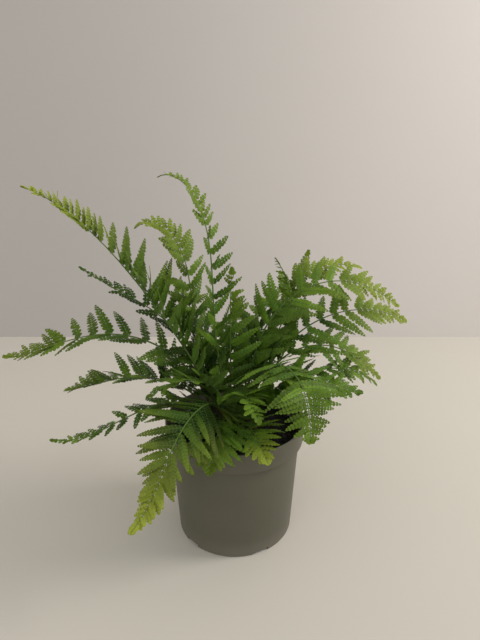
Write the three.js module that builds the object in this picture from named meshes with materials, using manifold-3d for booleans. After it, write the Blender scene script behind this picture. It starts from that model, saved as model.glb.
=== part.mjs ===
// A potted male fern: a round plastic nursery pot, its soil, the crown and one solid for each frond.
// Millimetres, +Z up. The origin is the centre of the pot's flat underside, and +X is to the right
// of someone who looks at the front along +Y.

import * as THREE from "three";
import { mergeVertices } from "three/addons/utils/BufferGeometryUtils.js";
import Module from "manifold-3d";

// Driving dimensions of the pot, in millimetres, and turns in degrees
const POT_HEIGHT = 113;
const RIM_RADIUS = 65;
const RIM_BAND = 19;
const RIM_LEDGE = 3.4;
const BAND_TAPER = 0.9;
const BODY_TOP_RADIUS = 60.4;
const BASE_RADIUS = 55;
const WALL = 1.6;
const POT_FLOOR = 2.6;
const EDGE = 0.9;
const NOTCHES = 5;
const NOTCH_WIDTH = 15;
const NOTCH_DEPTH = 5;
const NOTCH_HEIGHT = 3.4;
const FIRST_NOTCH = 296;
const POT_SIDES = 40;

// Driving dimensions of the soil and the crown
const SOIL_TOP = 99;
const SOIL_EDGE_DROP = 1;
const SOIL_RINGS = [0.92, 0.68, 0.45, 0];
const SOIL_ROUGHNESS = 1.3;
const LUMP_ACROSS = 4.1;
const LUMP_ALONG = 5.2;
const LUMP_SWAY = 1.7;
const LUMP_SWAY_LENGTH = 6.3;
const FIT_GAP = 0.3;
const CROWN_RADIUS = 20.5;
const CROWN_RISE = 7;
const CROWN_DEPTH = 14;
const CROWN_SIDES = 24;
const SOCKET_DEPTH = 6;
const SOCKET_STEP = 4;
const SOCKET_STATIONS = 6;

// The crown's outline as shares: across of its radius, and up of its depth in the soil or its rise
const CROWN_OUTLINE = [
  [0, -1],
  [0.55, -1],
  [0.92, -0.45],
  [1, 0.1],
  [0.82, 0.66],
  [0.45, 1],
  [0, 0.9],
];

// Driving dimensions that all the fronds share
const RING_RADIUS = { inner: 5, middle: 10.8, outer: 15.8 };
const FOOT_RISE = 1;
const STALK_HALF_AT_FOOT = 1.5;
const STALK_HALF_AT_TIP = 0.42;
const STALK_TAPER = 1.6;
const STALK_STEP = 13;
const SPINE_STEPS = 40;
const BARE_SHARE = 0.12;

// Driving dimensions of the blade: the pinna's length as a share of the longest, by its place, the
// crowding of the pairs towards the tip, and the degrees by which the pinnae stand further out at
// the foot of the blade and lean further in at its tip
const WIDEST_AT = 0.3;
const PINNA_AT_FOOT = 0.6;
const PINNA_AT_TIP = 0.03;
const PAIR_CROWDING = 1.3;
const TIP_ROOM = 0.6;
const LEAN_SWING = 14;

// Driving dimensions of a pinna: its thickness and half width, its lobes and the notches between
const BLADE_HALF_THICKNESS = 0.32;
const PINNA_STALK_HALF = 0.9;
const PINNA_STALK_LENGTH = 2.7;
const HALF_WIDTH_BASE = 1.5;
const HALF_WIDTH_SHARE = 0.2;
const HALF_WIDTH_OF_SPACING = 0.44;
const TWO_LOBES_FROM = 39.5;
const THREE_LOBES_FROM = 50;
const LOBE_PLACE = 0.32;
const LOBE_RAKE = 0.3;
const TIP_SHARE = 0.35;
const PINNA_TAPER = 0.75;
const PINNA_TAPER_POWER = 1.2;
const NOTCH_SHARE = 0.4;
const NOTCH_TAPER = 0.6;
const SAG = 0.18;
const CLEARANCE = 0.35;
const TOUCH_VOLUME = 1e-6;

// How a pinna that would cross a neighbour is bent clear: the extra fold in degrees and its share
// of the length, in the order in which they are tried
const BENDS = [0, 14, -14, 28, -28, 42];
const SHARES = [1, 0.75, 0.5];

// Each frond: the ring of the crown that its foot stands in and the place on that ring, the way it
// heads, the slope of its stalk at the foot, one third, two thirds and the tip, and its length; then
// its pairs of pinnae, the length of the longest, how far they fold up, how far they lean out from
// the stalk half way up, the power by which the blade narrows, and how far the stalk swings round
// and the blade rolls over by the tip
const FRONDS = [
  frond("left_high", "middle", 202, 180, [79, 59, 49, 16], 287, 19, 50, 40, 42, 1.1, -10),
  frond("tall_left", "inner", 200, 158, [87, 84, 80, -23], 266, 19, 41, 26, 50, 0.75, -16),
  frond("left_back_high", "middle", 126, 157, [76, 74, 79, -43], 229, 16, 37, 16, 50, 1.5, 6, 40),
  frond("left_back", "middle", 160, 164, [76, 58, 28, 35], 216, 14, 34, 20, 50, 0.9, 0, 10),
  frond("left_long", "outer", 176, 179, [74, 38, -14, 0], 259, 15, 36, 22, 54, 2.0, -8, 24),
  frond("left_mid", "outer", 196, 186, [77, 30, -11, -12], 174, 13, 38, 28, 56, 1.6, -17, 4),
  frond("left_low", "outer", 219, 204, [84, 13, -22, 21], 172, 13, 24, 8, 54, 1.3, -11, 8),
  frond("front_left", "outer", 242, 245, [92, 17, -47, -14], 182, 16, 46, 2, 56, 1.05, -11, 26),
  frond("front_inner", "outer", 266, 254, [90, 34, -28, -56], 98, 9, 46, 6, 60, 1.3),
  frond("front", "outer", 289, 284, [90, 26, -8, -35], 84, 8, 34, 6, 58, 1.3, 8),
  frond("right_drooping", "outer", 327, 343, [82, 65, -22, -83], 172, 14, 48, 0, 82, 2.4, -64),
  frond("right_low", "outer", 345, 342, [92, 54, -7, 8], 143, 12, 42, 4, 64, 1.6, 1, -12),
  frond("right_mid", "outer", 2, 357, [86, 40, 3, -50], 152, 12, 36, 8, 54, 1.2, 6, -20),
  frond("right_long", "outer", 20, 7, [74, 52, -16, -39], 188, 14, 42, 8, 54, 1.5, 2, -36),
  frond("right_back", "middle", 31, 24, [77, 48, 7, -30], 230, 15, 46, 8, 56, 1.5, -10, -52),
  frond("right_high", "middle", 55, 20, [73, 68, 7, -38], 256, 17, 42, 8, 54, 1.3, -9, -56),
  frond("right_top", "middle", 92, 43, [83, 62, 30, -22], 232, 14, 34, 14, 54, 1.5, -23, -40),
  frond("tall_right", "inner", 74, 50, [92, 41, 54, 63], 194, 12, 26, 22, 40, 2.0, -5, -20),
  frond("right_slim", "inner", 6, 24, [89, 56, 82, 128], 176, 11, 24, 22, 34, 2.2, -11, -14),
  frond("centre_back", "inner", 130, 106, [86, 86, 84, 74], 152, 11, 42, 16, 60, 1.2, -30, 22),
  frond("inner_left", "middle", 236, 232, [85, 63, 15, -30], 128, 10, 38, 14, 60, 1.3, -20, -12),
  frond("inner_front", "middle", 276, 264, [84, 66, 10, -40], 112, 9, 38, 14, 58, 1.3, 34, 14),
  frond("inner_right", "middle", 320, 306, [84, 67, 19, -30], 125, 10, 38, 14, 58, 1.3, 16, 16),
  frond("back_right", "outer", 66, 68, [80, 56, 26, -10], 180, 11, 36, 18, 58, 1.2),
  frond("back", "outer", 86, 90, [83, 50, 8, -24], 165, 10, 36, 18, 58, 1.2),
  frond("back_left", "outer", 112, 122, [80, 58, 30, 0], 185, 11, 36, 18, 58, 1.2),
];

const GREENS = [0x4f8a2c, 0x5c9a33, 0x457d28, 0x69a53a];
const POT_COLOUR = 0x706960;
const SOIL_COLOUR = 0x221c18;
const CROWN_COLOUR = 0x5a3b22;
const POT_ROUGHNESS = 0.5;
const SOIL_ROUGH_LOOK = 0.95;
const CROWN_ROUGHNESS = 0.85;
const LEAF_ROUGHNESS = 0.55;

// A row of the table above, where the swing and the roll may be left out.
function frond(
  name, ring, place, heading, slope, length, pairs, pinna, fold, lean, taper, turn = 0, roll = 0,
) {
  return { name, ring, place, heading, slope, length, pairs, pinna, fold, lean, taper, turn, roll };
}

const wasm = await Module();
wasm.setup();

const rad = THREE.MathUtils.degToRad;

// A closed geometry as a solid that can be cut and joined.
function solidOf(geometry) {
  const bare = new THREE.BufferGeometry();
  bare.setAttribute("position", geometry.getAttribute("position"));
  bare.setIndex(geometry.index);
  const merged = mergeVertices(bare, 1e-4);
  const corners = merged.index.array;
  const kept = [];
  for (let i = 0; i < corners.length; i += 3) {
    const [a, b, c] = corners.subarray(i, i + 3);
    if (a !== b && b !== c && c !== a) kept.push(a, b, c);
  }
  const vertProperties = merged.getAttribute("position").array;
  return new wasm.Manifold(
    new wasm.Mesh({ numProp: 3, vertProperties, triVerts: new Uint32Array(kept) }),
  );
}

// The geometry of a solid.
function geometryOf(solid) {
  const mesh = solid.getMesh();
  const geometry = new THREE.BufferGeometry();
  geometry.setAttribute("position", new THREE.BufferAttribute(mesh.vertProperties, 3));
  geometry.setIndex(new THREE.BufferAttribute(mesh.triVerts, 1));
  geometry.computeVertexNormals();
  return geometry;
}

// A solid turned about the upright axis from a profile of radius and height pairs.
function turned(profile, sides) {
  const points = profile.map(([radius, height]) => new THREE.Vector2(radius, height));
  return new THREE.LatheGeometry(points, sides).rotateX(Math.PI / 2);
}

// The pot's inner radius at a height above its floor.
function innerRadius(height) {
  const share = height / (POT_HEIGHT - RIM_BAND);
  return BASE_RADIUS - WALL + (BODY_TOP_RADIUS - BASE_RADIUS) * Math.min(share, 1);
}

// The pot: a tapered wall with a rim band, a floor, and drain notches cut into its base edge.
function makePot() {
  const ledge = POT_HEIGHT - RIM_BAND;
  const bandFoot = RIM_RADIUS - BAND_TAPER;
  let pot = solidOf(
    turned(
      [
        [0, 0],
        [BASE_RADIUS - EDGE, 0],
        [BASE_RADIUS, EDGE],
        [BODY_TOP_RADIUS, ledge],
        [bandFoot, ledge],
        [RIM_RADIUS, POT_HEIGHT - EDGE],
        [RIM_RADIUS - EDGE / 2, POT_HEIGHT],
        [RIM_RADIUS - WALL, POT_HEIGHT],
        [bandFoot - WALL, ledge + RIM_LEDGE],
        [innerRadius(ledge), ledge],
        [innerRadius(POT_FLOOR), POT_FLOOR],
        [0, POT_FLOOR],
      ],
      POT_SIDES,
    ),
  );
  for (let i = 0; i < NOTCHES; i++) {
    const notch = new THREE.BoxGeometry(2 * NOTCH_DEPTH, NOTCH_WIDTH, 2 * NOTCH_HEIGHT);
    notch.translate(BASE_RADIUS, 0, 0).rotateZ(rad(FIRST_NOTCH + (360 / NOTCHES) * i));
    pot = pot.subtract(solidOf(notch));
  }
  return geometryOf(pot);
}

// The crown's profile, from its underside in the soil to its rounded top, grown by a gap.
function crownProfile(gap) {
  return CROWN_OUTLINE.map(([across, up]) => {
    const radius = across > 0 ? CROWN_RADIUS * across + gap : 0;
    const reach = up < 0 ? CROWN_DEPTH : CROWN_RISE;
    return [radius, SOIL_TOP + reach * up + gap * Math.sign(up)];
  });
}

// The soil: it fills the pot to just under the rim, with a lumpy top and a hollow for the crown.
function makeSoil() {
  const top = innerRadius(SOIL_TOP) - FIT_GAP;
  const profile = [
    [0, POT_FLOOR + FIT_GAP],
    [innerRadius(POT_FLOOR) - FIT_GAP, POT_FLOOR + FIT_GAP],
    [top, POT_HEIGHT - RIM_BAND],
    [top, SOIL_TOP - SOIL_EDGE_DROP],
    ...SOIL_RINGS.map((share) => [top * share, SOIL_TOP]),
  ];
  const soil = turned(profile, POT_SIDES);
  const position = soil.getAttribute("position");
  for (let i = 0; i < position.count; i++) {
    if (position.getZ(i) < SOIL_TOP - SOIL_EDGE_DROP / 2) continue;
    const x = position.getX(i);
    const y = position.getY(i);
    const sway = LUMP_SWAY * Math.sin(y / LUMP_SWAY_LENGTH);
    const lump = Math.sin(x / LUMP_ACROSS + sway) * Math.cos(y / LUMP_ALONG);
    position.setZ(i, SOIL_TOP + SOIL_ROUGHNESS * lump);
  }
  return geometryOf(solidOf(soil).subtract(solidOf(turned(crownProfile(FIT_GAP), CROWN_SIDES))));
}

// The three edges of a triangle, each from one corner to the next.
function edgesOf([a, b, c]) {
  return [
    [a, b],
    [b, c],
    [c, a],
  ];
}

// A leaf plate: points with a normal and a half thickness, joined by triangles that lie alike on
// both faces, with a wall along each free edge.
class Plate {
  constructor() {
    this.points = [];
    this.triangles = [];
  }

  point(place, normal, half) {
    this.points.push({ place, normal, half });
    return this.points.length - 1;
  }

  quad(a, b, c, d) {
    this.triangles.push([a, b, c], [a, c, d]);
  }

  geometry() {
    const position = [];
    for (const { place, normal, half } of this.points) {
      position.push(...place.clone().addScaledVector(normal, half));
      position.push(...place.clone().addScaledVector(normal, -half));
    }
    const index = [];
    const edges = new Set();
    for (const [a, b, c] of this.triangles) {
      index.push(2 * a, 2 * b, 2 * c, 2 * c + 1, 2 * b + 1, 2 * a + 1);
    }
    for (const triangle of this.triangles) {
      for (const [from, to] of edgesOf(triangle)) edges.add(from + ">" + to);
    }
    for (const [from, to] of this.triangles.flatMap(edgesOf)) {
      if (edges.has(to + ">" + from)) continue;
      index.push(2 * to, 2 * from, 2 * from + 1, 2 * to, 2 * from + 1, 2 * to + 1);
    }
    const geometry = new THREE.BufferGeometry();
    geometry.setAttribute("position", new THREE.Float32BufferAttribute(position, 3));
    geometry.setIndex(index);
    geometry.computeVertexNormals();
    return geometry;
  }
}

// The stalk's slope in radians at a share of its length: a cubic through the four given slopes.
function slopeAt({ slope }, share) {
  const [foot, third, twoThirds, tip] = slope;
  const u = share * 3;
  return rad(
    (-foot * (u - 1) * (u - 2) * (u - 3)) / 6 +
      (third * u * (u - 2) * (u - 3)) / 2 -
      (twoThirds * u * (u - 1) * (u - 3)) / 2 +
      (tip * u * (u - 1) * (u - 2)) / 6,
  );
}

// The stalk's direction, and the level way across it, at a share of its length.
function directionsAt(spec, share) {
  const reached = Math.max(share, 0);
  const rise = slopeAt(spec, reached);
  const swing = rad(spec.turn * reached);
  const along = new THREE.Vector3(Math.cos(swing), Math.sin(swing), 0).multiplyScalar(Math.cos(rise));
  along.z = Math.sin(rise);
  return { along, level: new THREE.Vector3(-Math.sin(swing), Math.cos(swing), 0) };
}

// The stalk's point, direction, side and upper face at a distance from the foot, in the frond's
// own frame, where it sets out along +X. Below the foot it runs straight on down.
function frameAt(spec, distance) {
  const point = new THREE.Vector3();
  for (let i = 0; i < SPINE_STEPS; i++) {
    const share = (((i + 0.5) / SPINE_STEPS) * distance) / spec.length;
    point.addScaledVector(directionsAt(spec, share).along, distance / SPINE_STEPS);
  }
  const { along, level } = directionsAt(spec, distance / spec.length);
  const raised = along.clone().cross(level);
  const rolled = rad(spec.roll * Math.max(distance / spec.length, 0));
  const [across, over] = [Math.cos(rolled), Math.sin(rolled)];
  const side = level.clone().multiplyScalar(across).addScaledVector(raised, -over);
  return { point, along, side, up: raised.multiplyScalar(across).addScaledVector(level, over) };
}

// Half the stalk's width at a distance from the foot.
function stalkHalf(spec, distance) {
  const left = 1 - Math.max(distance, 0) / spec.length;
  return STALK_HALF_AT_TIP + (STALK_HALF_AT_FOOT - STALK_HALF_AT_TIP) * left ** STALK_TAPER;
}

// The share of the longest pinna's length that a pinna has, at a share of the leafy stretch, in a
// blade that narrows by a power.
function bladeShare(share, taper) {
  if (share < WIDEST_AT) {
    const grown = THREE.MathUtils.smoothstep(share, 0, WIDEST_AT);
    return PINNA_AT_FOOT + (1 - PINNA_AT_FOOT) * grown;
  }
  const past = (share - WIDEST_AT) / (1 - WIDEST_AT);
  return 1 - (1 - PINNA_AT_TIP) * past ** taper;
}

// Where the pairs of pinnae stand, and how long and wide they are.
function pinnaPairs(spec) {
  const leafy = spec.length * (1 - BARE_SHARE);
  const pairs = [];
  for (let i = 0; i < spec.pairs; i++) {
    const share = 1 - (1 - (i + 0.5) / (spec.pairs + TIP_ROOM)) ** PAIR_CROWDING;
    const length = spec.pinna * bladeShare(share, spec.taper);
    const half = Math.min(
      HALF_WIDTH_BASE + HALF_WIDTH_SHARE * length,
      (leafy / spec.pairs) * HALF_WIDTH_OF_SPACING,
    );
    pairs.push({ distance: spec.length - leafy * (1 - share), share, length, half });
  }
  return pairs;
}

// How many lobes a pinna has on each side below its tip.
function lobeCount(length) {
  if (length > THREE_LOBES_FROM) return 3;
  return length > TWO_LOBES_FROM ? 2 : 1;
}

// The rows of a pinna's outline, from its stalk to its last lobe: a way along and a half width.
function pinnaRows(length, half) {
  const lobes = lobeCount(length);
  const step = length / (lobes + TIP_SHARE);
  const rows = [];
  for (let lobe = 0; lobe < lobes; lobe++) {
    const width = half * (1 - PINNA_TAPER * (lobe / lobes) ** PINNA_TAPER_POWER);
    rows.push([step * (lobe + LOBE_PLACE) + LOBE_RAKE * width, width]);
    if (lobe < lobes - 1) {
      const notch = NOTCH_SHARE * half * (1 - (NOTCH_TAPER * lobe) / lobes);
      rows.push([step * (lobe + 1), notch]);
    }
  }
  return rows;
}

// The axes of a pinna: its rib, the way across it towards the frond's tip, and its upper face.
function pinnaAxes({ along, side, up }, which, lean, fold) {
  const rib = along.clone().multiplyScalar(Math.cos(lean));
  rib.addScaledVector(side, which * Math.sin(lean));
  const across = along.clone().multiplyScalar(Math.sin(lean));
  across.addScaledVector(side, -which * Math.cos(lean));
  const [lift, level] = [Math.sin(rad(fold)), Math.cos(rad(fold))];
  const face = up.clone().multiplyScalar(level).addScaledVector(rib, -lift);
  rib.multiplyScalar(level).addScaledVector(up, lift);
  return { rib, across, face };
}

// Where a pinna grows from the stalk, on the right (-1) or the left (1), and its axes.
function pinnaRoot(spec, pair, which, bend) {
  const frame = frameAt(spec, pair.distance);
  const offset = which * stalkHalf(spec, pair.distance);
  const root = frame.point.clone().addScaledVector(frame.side, offset);
  const lean = rad(spec.lean + LEAN_SWING * (1 - 2 * pair.share));
  return { root, axes: pinnaAxes(frame, which, lean, spec.fold + bend) };
}

// Adds a pinna to a plate, between the two points of the stalk's edge that it grows from, larger
// all round by an extra.
function addPinna(plate, root, axes, which, [length, half], [low, high], extra) {
  const place = (way, width) =>
    root
      .clone()
      .addScaledVector(axes.rib, way)
      .addScaledVector(axes.across, width)
      .addScaledVector(axes.face, -SAG * length * (way / length) ** 2);
  const thickness = BLADE_HALF_THICKNESS + extra;
  const quad = (a, b, c, d) => (which < 0 ? plate.quad(a, b, c, d) : plate.quad(d, c, b, a));
  for (const [way, width] of pinnaRows(length, half)) {
    const nextLow = plate.point(place(way, -width - extra), axes.face, thickness);
    const nextHigh = plate.point(place(way, width + extra), axes.face, thickness);
    quad(low, nextLow, nextHigh, high);
    [low, high] = [nextLow, nextHigh];
  }
  const tip = plate.point(place(length + extra, 0), axes.face, thickness);
  plate.triangles.push(which < 0 ? [low, tip, high] : [high, tip, low]);
}

// A pinna by itself, for the clearing test, from a way out along its rib.
function lonePinna(spec, pair, which, bend, share, from, extra) {
  const { root, axes } = pinnaRoot(spec, pair, which, bend);
  const plate = new Plate();
  const start = root.clone().addScaledVector(axes.rib, from);
  const ends = [-1, 1].map((sign) =>
    plate.point(
      start.clone().addScaledVector(axes.across, sign * (PINNA_STALK_HALF + extra)),
      axes.face,
      BLADE_HALF_THICKNESS + extra,
    ),
  );
  addPinna(plate, root, axes, which, [pair.length * share, pair.half * share], ends, extra);
  return plate.geometry();
}

// Adds a square stalk to a plate through the given distances from its foot, and gives back the
// points of its right and left edges.
function addStalk(plate, spec, distances, extra) {
  const edges = distances.map((distance) => {
    const { point, side, up } = frameAt(spec, distance);
    const half = stalkHalf(spec, distance) + extra;
    const edgePoint = (sign) => plate.point(point.clone().addScaledVector(side, sign * half), up, half);
    return { right: edgePoint(-1), left: edgePoint(1) };
  });
  for (let i = 1; i < edges.length; i++) {
    plate.quad(edges[i - 1].right, edges[i].right, edges[i].left, edges[i - 1].left);
  }
  return edges;
}

// A frond: its stalk from the socket in the crown to the tip, and the pinnae chosen for it, or the
// bare stalk where none are chosen.
function frondPlate(spec, chosen) {
  const plate = new Plate();
  const reach = spec.length * BARE_SHARE + SOCKET_DEPTH;
  const steps = Math.ceil(reach / STALK_STEP);
  const distances = [];
  for (let i = 0; i < steps; i++) {
    distances.push((reach * i) / steps - SOCKET_DEPTH);
  }
  const pairs = pinnaPairs(spec);
  for (const { distance } of pairs) {
    distances.push(distance - PINNA_STALK_HALF, distance + PINNA_STALK_HALF);
  }
  const edges = addStalk(plate, spec, distances, 0);
  const { point, up } = frameAt(spec, spec.length);
  const tip = plate.point(point, up, STALK_HALF_AT_TIP);
  plate.triangles.push([edges.at(-1).right, tip, edges.at(-1).left]);
  if (!chosen) return plate.geometry();
  pairs.forEach((pair, number) => {
    const [low, high] = edges.slice(steps + 2 * number);
    const ends = { "-1": [low.right, high.right], 1: [low.left, high.left] };
    for (const which of [-1, 1]) {
      const choice = chosen[number][which];
      if (!choice) continue;
      const { root, axes } = pinnaRoot(spec, pair, which, choice.bend);
      const size = [pair.length * choice.share, pair.half * choice.share];
      addPinna(plate, root, axes, which, size, ends[which], 0);
    }
  });
  return plate.geometry();
}

// The frond's place: its foot on the crown, and its heading.
function placement({ ring, place, heading }) {
  const radius = RING_RADIUS[ring];
  const foot = new THREE.Object3D();
  foot.position.set(radius * Math.cos(rad(place)), radius * Math.sin(rad(place)), SOIL_TOP + FOOT_RISE);
  foot.rotation.z = rad(heading);
  foot.updateMatrix();
  return foot;
}

// A geometry in its place, as the solid that others have to clear.
function obstacle(geometry, matrix, owner) {
  const placed = geometry.applyMatrix4(matrix);
  placed.computeBoundingBox();
  return { owner, box: placed.boundingBox, solid: solidOf(placed) };
}

// Whether a piece cuts into any of the others.
function crosses(piece, others) {
  const near = others.filter((other) => piece.box.intersectsBox(other.box));
  return near.some((other) => piece.solid.intersect(other.solid).volume() > TOUCH_VOLUME);
}

// For each pinna of each frond, the first bend and length that clear everything already there.
function clearFronds(holder) {
  const level = new THREE.Matrix4();
  const stalks = holder.map((geometry) => obstacle(geometry.clone(), level, null));
  for (const spec of FRONDS) stalks.push(obstacle(frondPlate(spec), placement(spec).matrix, spec));
  const leaves = [];
  const choices = new Map();
  for (const spec of FRONDS) {
    const { matrix } = placement(spec);
    const foreignStalks = stalks.filter(({ owner }) => owner !== spec);
    const own = [];
    const chosen = pinnaPairs(spec).map((pair) => {
      const sides = {};
      for (const which of [-1, 1]) {
        sides[which] = firstClear(spec, pair, which, matrix, foreignStalks, leaves, own);
      }
      return sides;
    });
    choices.set(spec, chosen);
    leaves.push(...own.map(({ whole }) => whole));
  }
  return choices;
}

// The first bend and length of a pinna that clear the stalks, the leaves of the fronds before it
// and the outer parts of its own frond's pinnae, or null where none does.
function firstClear(spec, pair, which, matrix, stalks, leaves, own) {
  for (const share of SHARES) {
    for (const bend of BENDS) {
      const guarded = (from, extra) =>
        obstacle(lonePinna(spec, pair, which, bend, share, from, extra), matrix, spec);
      const whole = guarded(0, CLEARANCE);
      if (crosses(whole, stalks) || crosses(whole, leaves)) continue;
      const outer = guarded(PINNA_STALK_LENGTH, CLEARANCE);
      if (crosses(outer, own.map((leaf) => leaf.outer))) continue;
      own.push({ whole: guarded(0, 0), outer: guarded(PINNA_STALK_LENGTH, 0) });
      return { bend, share };
    }
  }
  return null;
}

// The crown, with a plain hole for the foot of each frond.
function makeCrown() {
  let crown = solidOf(turned(crownProfile(0), CROWN_SIDES));
  const distances = [];
  for (let i = 0; i < SOCKET_STATIONS; i++) {
    distances.push(SOCKET_STEP * i - SOCKET_DEPTH - FIT_GAP);
  }
  for (const spec of FRONDS) {
    const hole = new Plate();
    addStalk(hole, spec, distances, FIT_GAP);
    crown = crown.subtract(solidOf(hole.geometry().applyMatrix4(placement(spec).matrix)));
  }
  return geometryOf(crown);
}

// A named mesh with a material of its own.
function named(name, geometry, color, roughness) {
  const material = new THREE.MeshStandardMaterial({ color, roughness, metalness: 0 });
  const mesh = new THREE.Mesh(geometry, material);
  mesh.name = name;
  return mesh;
}

const fern = new THREE.Group();
const pot = makePot();
const soil = makeSoil();
const crown = makeCrown();
fern.add(named("pot", pot, POT_COLOUR, POT_ROUGHNESS));
fern.add(named("soil", soil, SOIL_COLOUR, SOIL_ROUGH_LOOK));
fern.add(named("crown", crown, CROWN_COLOUR, CROWN_ROUGHNESS));

const choices = clearFronds([pot, soil, crown]);
FRONDS.forEach((spec, i) => {
  const foot = placement(spec);
  const green = GREENS[i % GREENS.length];
  const leaf = named("frond_" + spec.name, frondPlate(spec, choices.get(spec)), green, LEAF_ROUGHNESS);
  leaf.position.copy(foot.position);
  leaf.rotation.copy(foot.rotation);
  fern.add(leaf);
});

export default fern;
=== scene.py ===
"""A potted male fern in a round plastic nursery pot, dressed from its plain solids.

Lengths in the frond table and in the fern's own values are millimetres, and angles are degrees. The
finished pieces are in metres, +Z up, and the viewer looks along +Y.
"""

import math
from collections import defaultdict, namedtuple

import bmesh
import bpy
import numpy as np
from bpy.props import FloatProperty, FloatVectorProperty, IntProperty, PointerProperty
from mathutils import Matrix, Vector, kdtree, noise


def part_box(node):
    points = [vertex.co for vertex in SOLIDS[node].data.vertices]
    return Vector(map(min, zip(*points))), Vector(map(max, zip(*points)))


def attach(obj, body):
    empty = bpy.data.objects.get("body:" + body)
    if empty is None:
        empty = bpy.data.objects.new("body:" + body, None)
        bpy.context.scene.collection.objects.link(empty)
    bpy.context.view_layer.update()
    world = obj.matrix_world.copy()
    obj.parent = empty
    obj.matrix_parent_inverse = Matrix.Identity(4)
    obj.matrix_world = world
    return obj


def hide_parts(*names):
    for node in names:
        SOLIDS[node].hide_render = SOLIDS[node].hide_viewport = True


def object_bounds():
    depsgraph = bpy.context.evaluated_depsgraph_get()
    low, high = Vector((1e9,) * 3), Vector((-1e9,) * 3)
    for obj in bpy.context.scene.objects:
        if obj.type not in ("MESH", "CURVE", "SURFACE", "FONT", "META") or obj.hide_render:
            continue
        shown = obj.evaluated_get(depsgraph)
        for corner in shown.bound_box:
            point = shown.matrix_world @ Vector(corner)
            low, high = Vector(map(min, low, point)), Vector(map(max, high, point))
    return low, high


bl_info = {
    "name": "Potted male fern",
    "version": (1, 0, 0),
    "blender": (4, 5, 0),
    "location": "3D View > Sidebar > Fern",
    "description": "Makes a potted male fern, with its pot, soil, crown and fronds",
    "category": "Add Mesh",
}

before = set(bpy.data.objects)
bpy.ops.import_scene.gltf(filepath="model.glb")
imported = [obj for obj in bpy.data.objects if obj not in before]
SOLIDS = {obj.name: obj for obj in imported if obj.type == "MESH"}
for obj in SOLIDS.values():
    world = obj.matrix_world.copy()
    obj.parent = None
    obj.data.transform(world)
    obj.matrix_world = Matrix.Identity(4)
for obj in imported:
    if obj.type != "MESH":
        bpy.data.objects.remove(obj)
SOLIDS_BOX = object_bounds()
POT_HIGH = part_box("pot")[1]
SOIL_LOW, SOIL_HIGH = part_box("soil")
CROWN_LOW, CROWN_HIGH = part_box("crown")

MM = 0.001
MERGE = 1e-6
UP = np.array((0, 0, 1))
BODY = "root"
MARKS = ("tone", "youth", "place")

# The pot's sizes beside those that its settings hold
POT_SIDES = 144
NOTCHES = 5
FIRST_NOTCH = 296
NOTCH_WIDTH = 15 * MM
NOTCH_DEPTH = 5 * MM
NOTCH_HEIGHT = 3.4 * MM
GROOVE_HEIGHT = 1.6 * MM
GROOVE_DEPTH = 0.9 * MM
EDGE_ROUNDING = 0.35 * MM
CRISP_ANGLE = math.radians(28)

# The fern's sizes, which the solids share
SOIL_LEVEL = 99
FOOT_HEIGHT = 100
INNER, MIDDLE, OUTER = 5, 10.8, 15.8
SOCKET_DEPTH = 6
STALK_HALF_AT_FOOT = 1.5
STALK_HALF_AT_TIP = 0.42
STALK_TAPER = 1.6
SPINE_STEPS = 40
BARE_SHARE = 0.12
WIDEST_AT = 0.3
PINNA_AT_FOOT = 0.6
PINNA_AT_TIP = 0.03
PAIR_CROWDING = 1.3
TIP_ROOM = 0.6
LEAN_SWING = 14
BLADE_HALF_THICKNESS = 0.32
HALF_WIDTH_BASE = 1.5
HALF_WIDTH_SHARE = 0.2
HALF_WIDTH_OF_SPACING = 0.44
SAG = 0.18
BENDS = (0, 14, -14, 28, -28, 42)
SHARES = (1, 0.75, 0.5)
FIT_TOLERANCE = 0.05 * MM

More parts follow.
